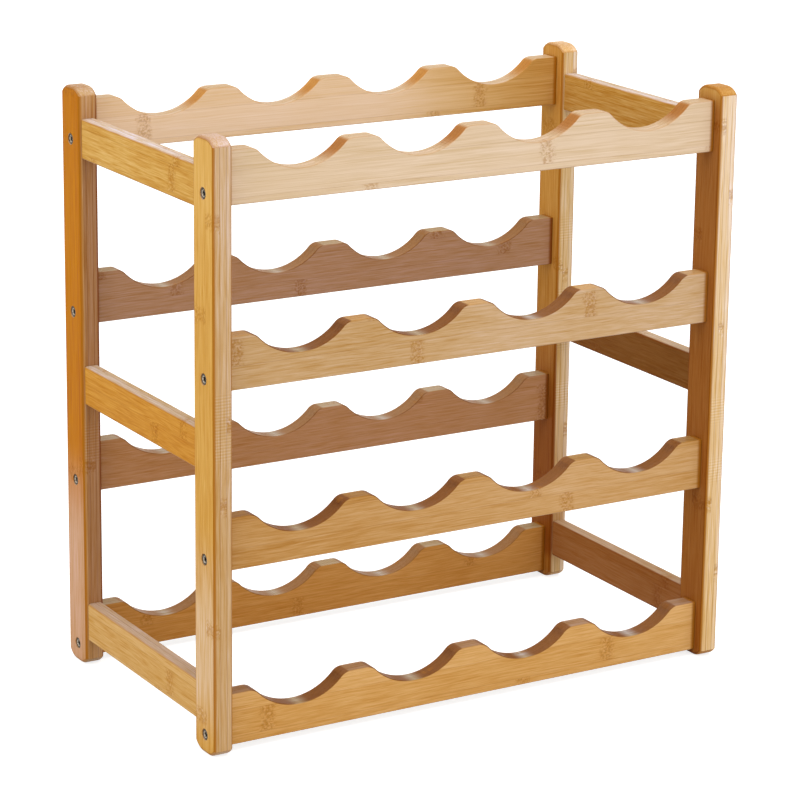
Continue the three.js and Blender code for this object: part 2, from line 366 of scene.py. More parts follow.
def separate(wire):
    """The three parts of a vector."""
    return [Wire(socket) for socket in add_node(wire.tree, "ShaderNodeSeparateXYZ", [wire]).outputs]


def noise(vector, scale=1.0, detail=2.0, rough=0.5):
    """Smooth random values about 0.5 at the given vector."""
    node = add_node(
        vector.tree, "ShaderNodeTexNoise",
        {"Vector": vector, "Scale": scale, "Detail": detail, "Roughness": rough},
    )
    return Wire(node.outputs["Fac"])


def blend(factor, first, second, kind="RGBA", mode="MIX"):
    """First at factor 0 and second at factor 1."""
    start, out = {"FLOAT": (2, 0), "RGBA": (6, 2)}[kind]
    node = add_node(factor.tree, "ShaderNodeMix", {0: factor}, data_type=kind)
    if kind == "RGBA":
        node.blend_type = mode
    for slot, value in ((start, first), (start + 1, second)):
        if isinstance(value, Wire):
            factor.tree.links.new(value.socket, node.inputs[slot])
        else:
            node.inputs[slot].default_value = value
    return Wire(node.outputs[out])


# ---- Shader node groups ----
def strips_group():
    """Where a point of a board lies among its glued strips. U runs across the strips, V through the
    plies and W along the fibres."""
    tree, at, output = new_group(
        "Bamboo Strips", "ShaderNodeTree",
        {"Board": "Vector", "Strip Width": "Float", "Ply Thickness": "Float", "Ply Offset": "Float",
         "Knuckle Spacing": "Float", "Seed": "Float"},
        {"Tone": "Float", "Glue Line": "Float", "Seam": "Float", "Knuckle": "Float"},
    )
    stagger_row = 3.7
    line_reach, seam_reach = (0.1 * MM, 0.3 * MM), (0.05 * MM, 0.22 * MM)
    knuckle_reach = (2.5 * MM, 8 * MM)
    wobbles_per_metre, wobble_width = 190, 9 * MM
    u, v, w = separate(at["Board"])
    ply = v / at["Ply Thickness"] + at["Ply Offset"]
    layer = ply.math("FLOOR")
    stagger = add_node(
        tree, "ShaderNodeTexWhiteNoise", [combine(tree, layer, at["Seed"], stagger_row)]
    )
    strip = u / at["Strip Width"] + Wire(stagger.outputs["Value"])
    lane = strip.math("FLOOR")
    chance = add_node(tree, "ShaderNodeTexWhiteNoise", [combine(tree, lane, layer, at["Seed"])])
    across = [Wire(socket) for socket in add_node(
        tree, "ShaderNodeSeparateColor", [Wire(chance.outputs["Color"])]).outputs]

    def gap(place, width):
        """Distance in metres to the nearest whole number of place."""
        fraction = place.math("FRACT")
        return fraction.math("MINIMUM", 1 - fraction) * width

    lines = gap(ply, at["Ply Thickness"]).fade(*line_reach)
    seams = gap(strip, at["Strip Width"]).fade(*seam_reach)
    wobble = noise(at["Board"], wobbles_per_metre, 2) - 0.5
    along = (w / at["Knuckle Spacing"] + across[1]).math("FRACT") - 0.5
    offset = (along * at["Knuckle Spacing"] + wobble * wobble_width).math("ABSOLUTE")
    finish_group(tree, output, {
        "Tone": across[0],
        "Glue Line": lines,
        "Seam": seams,
        "Knuckle": offset.fade(*knuckle_reach),
    })
    return tree


def fibres_group():
    """The fibres of bamboo: fine streaks, broad streaks and short dark bundles. They are given by how
    many there are in a metre, across the fibres and along them."""
    tree, at, output = new_group(
        "Bamboo Fibres", "ShaderNodeTree",
        {"Board": "Vector", "Knuckle": "Float", "Fibre Length": "Float", "Seed": "Float"},
        {"Fibre": "Float", "Bundles": "Float", "Height": "Float"},
    )
    swirls_per_metre, swirl_reach = 260, 5 * MM
    sways_per_metre, sway_reach = 16, 3 * MM
    mottles_per_metre = 620
    bundle_rise = (0.35, 0.43)
    seed_step = 3.1
    u, v, w = separate(at["Board"])
    swirl = (noise(at["Board"], swirls_per_metre, 1) - 0.5) * at["Knuckle"] * swirl_reach
    swaying = noise(combine(tree, at["Seed"], 1.0, w * sways_per_metre), 1, 1)
    sway = (swaying - 0.5) * sway_reach + swirl

    def stretched(across, along, detail):
        shifted = w / at["Fibre Length"] * along + at["Seed"] * seed_step
        return noise(combine(tree, (u + sway) * across, (v + sway) * across, shifted), 1, detail, 0.6)

    fine = stretched(1000, 16, 3)
    broad = stretched(300, 5, 2)
    bundles = stretched(640, 11, 1).fade(*bundle_rise)
    mottle = (noise(at["Board"], mottles_per_metre, 2) - 0.5) * at["Knuckle"]
    fibre = fine * 0.88 + broad * 0.12 + mottle * 0.8
    finish_group(tree, output, {
        "Fibre": fibre,
        "Bundles": bundles,
        "Height": fine - bundles * 0.5 + mottle,
    })
    return tree


def bamboo_group(strips, fibres):
    """Laminated bamboo under a satin lacquer, with painted light and shade. Inward is 1 on a side that
    faces the bottles, where painted shade darkens it, and Pale lifts the flat sides as a painted floor
    reflection.
    """
    kinds = {
        "Vector": ("Board", "Facing"),
        "Color": ("Flat Colour", "Edge Colour", "Low Edge Colour", "End Colour", "Pale Colour",
                  "Arris Colour", "Glue And Joint Shade Tint", "Inner Shade Tint"),
        "Float": ("Inward", "Pale", "End Start", "End Full", "Strip Width", "Ply Thickness",
                  "Ply Offset", "Knuckle Spacing", "Half Length", "Arris", "Grain", "Fibre Length",
                  "Bundles", "Warmth", "Flat Drift", "Edge Drift", "Turn", "Unevenness", "Gloss",
                  "Seed"),
    }
    tree, at, output = new_group(
        "Laminated Bamboo", "ShaderNodeTree", {name: kind for kind in kinds for name in kinds[kind]},
        {"Colour": "Color", "Roughness": "Float", "Coat": "Float", "Height": "Float"},
    )
    strip = add_node(tree, "ShaderNodeGroup", node_tree=strips)
    for name in ("Board", "Strip Width", "Ply Thickness", "Ply Offset", "Knuckle Spacing", "Seed"):
        tree.links.new(at[name].socket, strip.inputs[name])
    tone, line, seam, knuckle = [Wire(socket) for socket in strip.outputs]
    fibre_node = add_node(tree, "ShaderNodeGroup", node_tree=fibres)
    tree.links.new(knuckle.socket, fibre_node.inputs["Knuckle"])
    for name in ("Board", "Fibre Length", "Seed"):
        tree.links.new(at[name].socket, fibre_node.inputs[name])
    fibre, bundles, height = [Wire(socket) for socket in fibre_node.outputs]
    u, _, w = separate(at["Board"])
    from_middle = w.math("ABSOLUTE")
    from_end = at["Half Length"] - from_middle

    # What the surface is part of. It leans by 0 to 1 towards the strips' edges, the flat sides and
    # the ends of the board.
    edge_lean, rim_lean, flat_lean = (0.35, 0.9), (0.04, 0.3), (0.1, 0.75)
    crease_lean, glue_lean = (0.6, 0.7), (0.3, 0.8)
    arris_spared_on_ends, crease_shade_depth, seam_depth = 0.6, 0.6, 0.6
    across, through, along = [part.math("ABSOLUTE") for part in separate(at["Facing"])]
    edge = 1 - across.fade(*edge_lean)
    end = 1 - along.fade(at["End Start"], at["End Full"])
    rim = across.math("MAXIMUM", along)
    # Painted shade on the arrises, partly standing for the thicker lacquer there and less of it on the
    # ends, and a painted shade line along the arch's crease.
    arris = (1 - rim.fade(*rim_lean)) * (1 - through.fade(*flat_lean)) * (1 - end * arris_spared_on_ends)
    crease = end * along.fade(*crease_lean) * crease_shade_depth
    arris = arris.math("MAXIMUM", crease) * at["Arris"]
    glue = line * through.fade(*glue_lean) * (1 - end * at["Arris"])
    glue = glue + seam * (1 - edge) * seam_depth

    # The tone of the flat sides, the edges and the ends.
    low_edge = (6 * MM, 14 * MM)
    rim_colour = blend(u.fade(*low_edge), at["Edge Colour"], at["Low Edge Colour"])
    # Pale blends in the painted floor reflection.
    flat = blend(at["Pale"], at["Flat Colour"], at["Pale Colour"])
    face = blend(edge, flat, rim_colour)
    face = blend(end, face, at["End Colour"])

    # How light it is there: the grain, a slow change and a drift along the board, and the marks
    # that a planer's knives leave across an edge in a patch near its middle.
    slow_seed, slow_per_metre = 7.3, 8
    mark_pitch, mark_depth = 2.2 * MM, 0.11
    patch_row, patches_per_metre, patch_rise = 12.75, 30, (0.56, 0.66)
    patch_reach = (60 * MM, 100 * MM)
    drift_reach = (-0.45, 0.45)
    knuckle_depth, strip_contrast, more_on_edges = 0.03, 0.16, 0.06
    red_warmth, blue_warmth = 0.5, 1.4
    darkest = 0.2
    slow = noise(combine(tree, at["Seed"] * slow_seed, 0.0, w * slow_per_metre), 1, 1) - 0.5
    marks = (w * (FULL_TURN / mark_pitch)).math("SINE") * edge
    marks = marks * from_middle.fade(*patch_reach)
    patches = noise(combine(tree, at["Seed"], patch_row, w * patches_per_metre), 1, 0)
    marks = marks * (1 - patches.fade(*patch_rise))
    place = 0.5 - (w / at["Half Length"] - at["Turn"]).fade(*drift_reach)
    drift = blend(edge, at["Flat Drift"], at["Edge Drift"], "FLOAT") * place
    level = (fibre - 0.5) * at["Grain"] - bundles * at["Bundles"] - knuckle * knuckle_depth + 1
    level = level + (tone - 0.5) * (edge * more_on_edges + strip_contrast)
    level = level + slow * at["Unevenness"] + drift + marks * mark_depth
    level = level.math("MAXIMUM", darkest)
    red = level.math("POWER", 1 - at["Warmth"] * red_warmth)
    blue = level.math("POWER", at["Warmth"] * blue_warmth + 1)
    shade = combine(tree, red, level, blue)
    face = blend(level * 0 + 1, face, shade, mode="MULTIPLY")

    # The speckled knuckles, the glue lines, painted shade at the ends where a board meets a post, the
    # arrises with their lacquer and painted shade, and painted shade on the sides that face the bottles.
    speckles_across, speckles_along, speckle_rise = 560, 460, (0.45, 0.58)
    worn_row, worn_per_metre = 5.0, 14
    butt_shade_reach, joint_shade_reach = (0.5 * MM, 4 * MM), (1 * MM, 4 * MM)
    speckle_depth, ring_depth, butt_shade_depth, joint_shade_depth, deepest = 0.34, 0.07, 0.2, 1.4, 0.9
    inward_lean = (0.15, 0.8)
    speckle = noise(combine(tree, u * speckles_across, at["Seed"], w * speckles_along), 1, 2)
    speckle = 1 - speckle.fade(*speckle_rise)
    face = blend(knuckle * (speckle * speckle_depth + ring_depth), face, at["Arris Colour"])
    worn = noise(combine(tree, at["Seed"], worn_row, w * worn_per_metre), 1, 1)
    # Real glue lines, with painted shade across the last millimetres where a board's end meets a post.
    depth = glue * worn + from_end.fade(*butt_shade_reach) * butt_shade_depth
    face = blend(depth.math("MINIMUM", deepest), face, at["Glue And Joint Shade Tint"], mode="MULTIPLY")
    # A painted amber band of shade at the ends of a board, where it meets a post.
    joint = from_end.fade(*joint_shade_reach) * (1 - end)
    joint = joint * (joint_shade_depth - at["Arris"] * joint_shade_depth).math("MINIMUM", 1.0)
    face = blend(joint, face, at["Arris Colour"])
    face = blend(arris, face, at["Arris Colour"])
    # Painted shade from the bottles on the sides that face them.
    inward = 1 - at["Inward"].fade(*inward_lean)
    face = blend(inward, face, at["Inner Shade Tint"], mode="MULTIPLY")
    finish_group(tree, output, {
        "Colour": face,
        "Roughness": 0.38 + fibre * 0.16 + bundles * 0.08,
        "Coat": at["Gloss"] + edge * 0.06 + end * 0.06,
        "Height": height - glue * 0.8 + marks * 0.5,
    })
    return tree


# ---- Materials ----
def new_material(name):
    """A material with its tree and its Principled shader, without the default links."""
    material = bpy.data.materials.new(name)
    material.use_nodes = True
    tree = material.node_tree
    shader = next(node for node in tree.nodes if node.type == "BSDF_PRINCIPLED")
    return material, tree, shader


# A kind of board. Across its strips and along its fibres are axes, and the offset centres its plies.
# Its colours are those of the flat sides, the edges, the lower part of the edges and the ends, which
# come in between two amounts of lean. Then come how strongly its arrises show, its grain with the
# length of a fibre, its dark bundles and how much a darker tone is warmer. The tone drifts along the
# board, about a point that turn sets, on the flat sides and on the edges. Uneven is how much it also
# changes slowly from place to place, and gloss is the strength of the lacquer.
Board = namedtuple(
    "Board",
    "across along ply offset flat edge low_edge end end_lean arris grain fibre_length bundles"
    " warmth flat_drift edge_drift turn uneven gloss",
)


def bamboo(node, board, finish, inward, seed, pale=0.0, foot=0.0, shade=None, lit=0.0):
    """The bamboo of one board, about its middle. Inward points to the sides that face the bottles,
    which take painted shade; pale is how much a painted floor reflection lifts the tone of the flat
    sides near the floor, foot is the height below which that ends, shade is the heights between which
    the painted shade on the inner sides deepens, and lit is how much of that shade the foot is spared,
    as painted floor light."""
    foot_light = (14 * MM, 34 * MM)
    outer_lean = (-0.8, -0.3)
    middle, size = middle_and_size(node)
    material, tree, shader = new_material(f"Bamboo {node}")
    across, along = AXIS[board.across], AXIS[board.along]
    turn = Matrix((across, along.cross(across), along)).transposed()
    coordinates = add_node(tree, "ShaderNodeTexCoord")
    place, normal = Wire(coordinates.outputs["Object"]), Wire(coordinates.outputs["Normal"])
    own_place = add_node(
        tree, "ShaderNodeMapping",
        {"Vector": place, "Location": middle, "Rotation": turn.to_euler()}, vector_type="TEXTURE",
    )
    facing = add_node(
        tree, "ShaderNodeMapping",
        {"Vector": normal, "Rotation": turn.transposed().to_euler()}, vector_type="VECTOR",
    )
    toward = add_node(tree, "ShaderNodeVectorMath", [normal, inward], operation="DOT_PRODUCT")
    height = separate(place)[2]
    # Painted shade on the inner sides below the shade heights, eased at the foot by painted floor light.
    shaded = height.fade(*(shade or (finish.shade_full, finish.shade_top)))
    shaded = shaded * (1 - height.fade(*foot_light) * lit)
    # Painted floor reflection: the outer sides turn paler between the pale heights, down to the foot.
    outer = Wire(toward.outputs["Value"]).fade(*outer_lean) * pale
    painted_floor_reflection = outer * height.fade(finish.pale_full, finish.pale_top)
    painted_floor_reflection = painted_floor_reflection * (1 - height.fade(0.0, foot + MM))
    wood = add_node(tree, "ShaderNodeGroup", {
        "Board": Wire(own_place.outputs[0]), "Facing": Wire(facing.outputs[0]),
        "Inward": Wire(toward.outputs["Value"]) * shaded, "Pale": painted_floor_reflection,
        "Flat Colour": board.flat, "Edge Colour": board.edge, "Low Edge Colour": board.low_edge,
        "End Colour": board.end, "End Start": board.end_lean[0], "End Full": board.end_lean[1],
        "Arris Colour": finish.arris, "Glue And Joint Shade Tint": finish.glue_and_joint_shade_tint,
        "Pale Colour": finish.pale_foot, "Inner Shade Tint": finish.inner_shade_tint,
        "Strip Width": finish.strip_width, "Ply Thickness": board.ply, "Ply Offset": board.offset,
        "Knuckle Spacing": finish.knuckle_spacing, "Half Length": size.dot(along) / 2,
        "Arris": board.arris, "Grain": board.grain, "Fibre Length": board.fibre_length,
        "Bundles": board.bundles, "Warmth": board.warmth, "Flat Drift": board.flat_drift,
        "Edge Drift": board.edge_drift, "Turn": board.turn, "Unevenness": board.uneven,
        "Gloss": board.gloss, "Seed": seed,
    }, node_tree=bamboo_tree())
    bump = add_node(
        tree, "ShaderNodeBump",
        {"Strength": 0.35, "Distance": 0.12 * MM, "Height": Wire(wood.outputs["Height"])},
    )
    for name, wire in (
        ("Base Color", wood.outputs["Colour"]), ("Roughness", wood.outputs["Roughness"]),
        ("Coat Weight", wood.outputs["Coat"]), ("Normal", bump.outputs[0]),
    ):
        tree.links.new(wire, shader.inputs[name])
    shader.inputs["Specular IOR Level"].default_value = 0.03
    shader.inputs["Coat Roughness"].default_value = 0.25
    arrange(tree)
    return material


def steel(finish):
    """Zinc-plated steel with faint turning marks. The head's face is painted dark as a painted dark
    reflection, and the socket has painted shade deep down; its walls are hardly metallic."""
    material, tree, shader = new_material("Zinc Plated Steel")
    local = Wire(add_node(tree, "ShaderNodeAttribute", attribute_name="local_place").outputs["Vector"])
    along, y, z = separate(local)
    radius = (y * y + z * z).math("SQRT")
    rings_per_metre, turns_per_metre, stains_per_metre = 9000, 2500, 420
    # Painted dark reflection on the head's face outside the socket, and painted shade deep in the socket.
    socket_rim, head_reflection_level = (2.3 * MM, 2.5 * MM), 0.08
    socket_shade_reach, socket_shade_level = (0.8 * MM, 1.2 * MM), 0.03
    rings = noise(combine(tree, radius * rings_per_metre, along * turns_per_metre, 0.5), 1, 2)
    stains = noise(local, stains_per_metre, 3)
    socket = radius.fade(*socket_rim)
    light = (along * -1).fade(*socket_shade_reach) * (1 - socket_shade_level) + socket_shade_level
    light = light * (socket * (1 - head_reflection_level) + head_reflection_level)
    level = (0.92 + rings * 0.08 + stains * 0.08) * light
    tint = blend(level * 0 + 1, finish.steel, combine(tree, level, level, level), mode="MULTIPLY")
    tree.links.new(tint.socket, shader.inputs["Base Color"])
    tree.links.new((0.2 + rings * 0.12 + stains * 0.14).socket, shader.inputs["Roughness"])
    bump = add_node(tree, "ShaderNodeBump", {"Strength": 0.2, "Distance": 0.03 * MM, "Height": rings})
    tree.links.new(bump.outputs[0], shader.inputs["Normal"])
    tree.links.new((1 - socket * 0.9).socket, shader.inputs["Metallic"])
    arrange(tree)
    return material


def beech(finish):
    """Unfinished beech with short dark rays along the dowel."""
    material, tree, shader = new_material("Beech")
    local = Wire(add_node(tree, "ShaderNodeAttribute", attribute_name="local_place").outputs["Vector"])
    along, y, z = separate(local)
    grain_across, grain_along = 1600, 60
    rays_across, rays_along, ray_rise = 2600, 700, (0.34, 0.42)
    grain = noise(combine(tree, y * grain_across, z * grain_across, along * grain_along), 1, 3)
    rays = noise(combine(tree, y * rays_across, z * rays_across, along * rays_along), 1, 1)
    rays = rays.fade(*ray_rise)
    level = 0.78 + grain * 0.4 - rays * 0.14
    tint = blend(
        level * 0 + 1, finish.beech, combine(tree, level, level * level, level * level), mode="MULTIPLY"
    )
    tree.links.new(tint.socket, shader.inputs["Base Color"])
    tree.links.new((0.62 + grain * 0.2).socket, shader.inputs["Roughness"])
    bump = add_node(tree, "ShaderNodeBump", {"Strength": 0.4, "Distance": 0.1 * MM, "Height": grain})
    tree.links.new(bump.outputs[0], shader.inputs["Normal"])
    arrange(tree)
    return material


# ---- Meshes ----
def loft(name, rings):
    """A closed mesh through rings of as many points each, with a flat face on both ends."""
    total = len(rings[0])
    vertices = [point for ring in rings for point in ring]
    faces = [tuple(range(total)), tuple(range(len(vertices) - total, len(vertices)))]
    for start in range(0, len(vertices) - total, total):
        for i in range(total):
            j = (i + 1) % total
            faces.append((start + i, start + j, start + total + j, start + total + i))
    mesh = bpy.data.meshes.new(name)
    mesh.from_pydata(vertices, [], faces)
    work = bmesh.new()
    work.from_mesh(mesh)
    bmesh.ops.recalc_face_normals(work, faces=work.faces)
    work.to_mesh(mesh)
    work.free()
    return mesh


def joined(name, meshes):
    """The meshes as one, and the originals removed."""
    work = bmesh.new()
    for mesh in meshes:
        work.from_mesh(mesh)
        bpy.data.meshes.remove(mesh)
    mesh = bpy.data.meshes.new(name)
    work.to_mesh(mesh)
    work.free()
    return mesh


def show(name, mesh):
    """A new object in the scene with the mesh."""
    piece = bpy.data.objects.new(name, mesh)
    bpy.context.scene.collection.objects.link(piece)
    return piece


def evaluated_mesh(piece):
    """A plain mesh of the piece with its modifiers applied."""
    graph = bpy.context.evaluated_depsgraph_get()
    graph.update()
    return bpy.data.meshes.new_from_object(
        piece.evaluated_get(graph), preserve_all_data_layers=True, depsgraph=graph
    )


def cut(mesh, tools):
    """The mesh less the tools, which stay clear of each other."""
    body = show("Cut Body", mesh)
    tool = show("Cut Tools", joined("Cut Tools", tools))
    modifier = body.modifiers.new("Cut", "BOOLEAN")
    modifier.object = tool
    modifier.operation = "DIFFERENCE"
    modifier.solver = "EXACT"
    result = evaluated_mesh(body)
    for spare in (body, tool):
        bpy.data.meshes.remove(spare.data)
    return result


def finish_piece(name, mesh, material, nodes):
    """The mesh as a finished piece of the rack, with flat faces shaded flat and curves smooth."""
    mesh.shade_smooth()
    mesh.set_sharp_from_angle(angle=SHARP_ANGLE)
    piece = show(name, mesh)
    weigh = piece.modifiers.new("Flat Faces Lead", "WEIGHTED_NORMAL")
    weigh.keep_sharp = True
    weigh.weight = 100
    shaded = evaluated_mesh(piece)
    piece.modifiers.remove(weigh)
    piece.data = shaded
    bpy.data.meshes.remove(mesh)
    shaded.name = name
    shaded.materials.clear()
    shaded.materials.append(material)
    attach(piece, "root")
    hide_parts(*nodes)
    return piece


def arc(x, y, radius, start, end, steps):
    """Points of an arc about (x, y). Angles run anticlockwise from +x."""
    angles = [start + (end - start) * i / steps for i in range(steps + 1)]
    return [(x + radius * math.cos(a), y + radius * math.sin(a)) for a in angles]


def rounded_rectangle(width, height, corner, steps):
    """Points of a rectangle about the origin, anticlockwise, with rounded corners."""
    x, y = width / 2 - corner, height / 2 - corner
    points = []
    for quarter, (cx, cy) in enumerate(((x, y), (-x, y), (-x, -y), (x, -y))):
        start = quarter * QUARTER_TURN
        points += arc(cx, cy, corner, start, start + QUARTER_TURN, steps)
    return points


def turned_ring(x, radius, sides, flutes=0, flute_depth=0.0):
    """A ring about the X axis, with flutes if it has any."""
    ring = []
    for i in range(sides):
        angle = FULL_TURN * i / sides
        reach = radius - flute_depth * (0.5 - 0.5 * math.cos(flutes * angle))
        ring.append((x, reach * math.cos(angle), reach * math.sin(angle)))
    return ring


def turned(name, profile, sides=32):
    """A body about the X axis through pairs of place and radius."""
    return loft(name, [turned_ring(x, radius, sides) for x, radius in profile])


def moved(mesh, offset):
    """The mesh, shifted in place."""
    mesh.transform(Matrix.Translation(offset))
    return mesh


# ---- Posts ----
def post_outline(settings, inset):
    """The side view of a post about its middle as (y, z), drawn in by the inset."""
    half_height = POST_SIZE.z / 2
    run = (POST_SIZE.y - settings.foot_flat) / 2
    radius = (run ** 2 + settings.arch_rise ** 2) / (2 * settings.arch_rise)
    crease = math.acos((run - inset) / (radius - inset))
    outward = arc(
        settings.foot_flat / 2, half_height - radius, radius - inset, QUARTER_TURN, crease,
        settings.arch_steps,
    )
    inward = outward[::-1]
    return (
        [(y, z) for y, z in inward] + [(-y, z) for y, z in outward]
        + [(-y, -z) for y, z in inward] + [(y, -z) for y, z in outward]
    )


def post_blank(settings):
    """A post about its middle, with rounded long edges, before it is bored."""
    half = POST_SIZE.x / 2
    radius = settings.edge_radius
    rings = []
    for side in (-1, 1):
        quarter = []
        for step in range(settings.edge_steps + 1):
            angle = step / settings.edge_steps * QUARTER_TURN
            x = side * (half - radius + radius * math.sin(angle))
            inset = radius * (1 - math.cos(angle))
            quarter.append([(x, y, z) for y, z in post_outline(settings, inset)])
        rings += quarter if side > 0 else quarter[::-1]
    return loft("Post", rings)


def screw_bore(fasteners, side):
    """The stepped hole through a post for a screw, along X, about the post's middle and with its
    mouth on the given side."""
    half = POST_SIZE.x / 2
    head = SCREW_SIZE.y / 2 + fasteners.clearance
    shank = fasteners.shank_diameter / 2 + fasteners.clearance
    sink = post_face_to_head()
    floor = half - sink - fasteners.head_height - fasteners.clearance
    profile = [
        (half + RUN_PAST, head + fasteners.mouth + RUN_PAST),
        (half - fasteners.mouth, head),
        (floor, head),
        (floor, shank),
        (-half - RUN_PAST, shank),
    ]
    return turned("Screw Bore", [(side * x, radius) for x, radius in profile], fasteners.turned_sides)


def post_face_to_head():
    """How far the top of a screw's head lies inside the outer face of its post."""
    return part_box("screw_front_left_1")[0].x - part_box("post_front_left")[0].x


def post_cutters(settings, corner, middle):
    """Everything that is bored or chopped out of a post."""
    face_name, side_name = corner
    side, face = SIDES[side_name], FACES[face_name]
    fasteners, side_rails = settings.fasteners, settings.side_rails
    tools = []
    for tier in range(1, TIERS + 1):
        screw = middle_and_size(f"screw_{face_name}_{side_name}_{tier}")[0]
        bore = screw_bore(fasteners, side)
        tools.append(moved(bore, (middle.x, screw.y, screw.z)))
        low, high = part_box(f"dowel_{face_name}_{side_name}_{tier}")
        radius = (high.z - low.z) / 2 + fasteners.clearance
        inner_face = middle.x - side * POST_SIZE.x / 2
        floor = (high.x if side > 0 else low.x) + side * fasteners.clearance
        hole = turned("Dowel Hole", [(inner_face - side * RUN_PAST, radius), (floor, radius)])
        tools.append(moved(hole, (0, middle.y, (low.z + high.z) / 2)))
    room = 2 * fasteners.clearance
    section = rounded_rectangle(
        side_rails.tenon_thickness + room, side_rails.tenon_height + room,
        side_rails.tenon_corner + fasteners.clearance, side_rails.corner_steps,
    )
    for level in LEVELS:
        rail = middle_and_size(f"side_rail_{side_name}_{level}")[0]
        edge = middle.y - face * POST_SIZE.y / 2
        reach = (side_rails.tenon_length + fasteners.clearance) * face
        ends = (edge - reach, edge + reach)
        mortise = loft("Mortise", [[(x, y, z) for x, z in section] for y in ends])
        tools.append(moved(mortise, (rail.x, 0, rail.z)))
    return tools


def finish_geometry(tree, at, output, geometry):
    """Ends a Geometry Nodes tree with real meshes in the piece's material."""
    whole = add_node(tree, "GeometryNodeRealizeInstances", {"Geometry": geometry})
    coated = add_node(
        tree, "GeometryNodeSetMaterial",
        {"Geometry": Wire(whole.outputs[0]), "Material": at["Material"]},
    )
    finish_group(tree, output, {"Geometry": Wire(coated.outputs[0])})
    return tree


# ---- Bottle rails, by Geometry Nodes ----
def bottle_rail_tree():
    """A rail with a row of cradles. It starts as a cylinder whose rows become the stations along
    the rail and whose columns become the points round its section."""
    lengths = ("Length", "Thickness", "Height", "Cradle Pitch", "Cradle Radius", "Cradle Depth",
               "Shoulder Radius", "Easing")
    counts = ("Cradles", "Trough Steps", "Shoulder Steps", "Easing Steps")
    inputs = {"Geometry": "Geometry"}
    inputs.update({name: "Float DISTANCE" for name in lengths})
    inputs.update({name: "Int" for name in counts})
    inputs.update({"Place": "Vector TRANSLATION", "Material": "Material"})
    tree, at, output = new_group(
        "Bottle Rail", "GeometryNodeTree", inputs, {"Geometry": "Geometry"}
    )
    radius, depth, shoulder = at["Cradle Radius"], at["Cradle Depth"], at["Shoulder Radius"]
    easing, height = at["Easing"], at["Height"]
    round_steps, easing_steps = at["Shoulder Steps"], at["Easing Steps"]
    per_cradle = 2 * round_steps + at["Trough Steps"] + 1
    section = 4 * (easing_steps + 1)
    stations = at["Cradles"] * per_cradle + 2
    blank = add_node(
        tree, "GeometryNodeMeshCylinder", {"Vertices": section, "Side Segments": stations - 1},
        fill_type="NGON",
    )
    index = Wire(add_node(tree, "GeometryNodeInputIndex").outputs[0])
    station = (index / section + NUDGE).math("FLOOR")
    spot = index - station * section

    # The arc that a station is on: its centre, its radius and the angle from straight up.
    reach = radius + shoulder
    slope = ((radius - depth + shoulder) / reach).math("ARCCOSINE")
    half_span = reach * slope.math("SINE")
    cradle = ((station - 0.5) / per_cradle).math("FLOOR")
    step = station - 1 - cradle * per_cradle
    middle = (cradle - (at["Cradles"] - 1) / 2) * at["Cradle Pitch"]
    in_trough = step.math("GREATER_THAN", round_steps + 0.5) * step.math(
        "LESS_THAN", round_steps + at["Trough Steps"] - 0.5)
    falling = (step / round_steps).math("MINIMUM", 1.0)
    rising = ((2 * round_steps + at["Trough Steps"] - step) / round_steps).math("MINIMUM", 1.0)
    second_half = step.math("GREATER_THAN", round_steps + at["Trough Steps"] / 2)
    hand = second_half * 2 - 1
    shoulder_turn = blend(second_half, falling, rising, "FLOAT") * slope * -1 * hand
    trough_turn = ((step - round_steps) / at["Trough Steps"] * 2 - 1) * slope
    at_end = station.math("LESS_THAN", 0.5).math("MAXIMUM", station.math("GREATER_THAN", stations - 1.5))
    end_hand = station.math("GREATER_THAN", stations / 2) * 2 - 1

    def pick(on_end, on_trough, on_shoulder):
        return blend(at_end, blend(in_trough, on_shoulder, on_trough, "FLOAT"), on_end, "FLOAT")

    centre_x = pick(end_hand * at["Length"] / 2, middle, middle + hand * half_span)
    centre_z = pick(height - shoulder, height - depth + radius, height - shoulder)
    sign = pick(1.0, -1.0, 1.0)
    size = pick(shoulder, radius, shoulder)
    turn = pick(0.0, trough_turn * -1, shoulder_turn)

    # The point of the section: four eased arrises, from the lower front one to the lower back one.
    arris = (spot / (easing_steps + 1) + NUDGE).math("FLOOR")
    angle = (spot - arris * (easing_steps + 1)) / easing_steps * QUARTER_TURN
    sine, cosine = angle.math("SINE"), angle.math("COSINE")
    odd = (arris / 2).math("FRACT") * 2
    on_top = arris.math("GREATER_THAN", 0.5) * arris.math("LESS_THAN", 2.5)
    behind = arris.math("GREATER_THAN", 1.5) * 2 - 1
    outward = blend(odd, sine, cosine, "FLOAT")
    inset = easing * (1 - blend(odd, cosine, sine, "FLOAT"))
    top_inset = inset * on_top
    arm = sign * (size - sign * top_inset)
    x = centre_x + arm * turn.math("SINE")
    crest_z = centre_z + arm * turn.math("COSINE")
    y = behind * (at["Thickness"] / 2 - easing + easing * outward)
    z = blend(on_top, inset, crest_z, "FLOAT")
    placed = add_node(
        tree, "GeometryNodeSetPosition",
        {"Geometry": Wire(blank.outputs["Mesh"]), "Position": combine(tree, x, y, z),
         "Offset": at["Place"]},
    )
    return finish_geometry(tree, at, output, Wire(placed.outputs[0]))


def run_tree(name, tree, values):
    """The plain mesh that a Geometry Nodes tree makes from named values."""
    host = show(name, bpy.data.meshes.new(name))
    modifier = host.modifiers.new("Nodes", "NODES")
    modifier.node_group = tree
    identifiers = {
        item.name: item.identifier for item in tree.interface.items_tree if item.in_out == "INPUT"
    }
    for key, value in values.items():
        modifier[identifiers[key]] = value
    mesh = evaluated_mesh(host)
    host.modifiers.remove(modifier)
    bpy.data.meshes.remove(host.data)
    return mesh


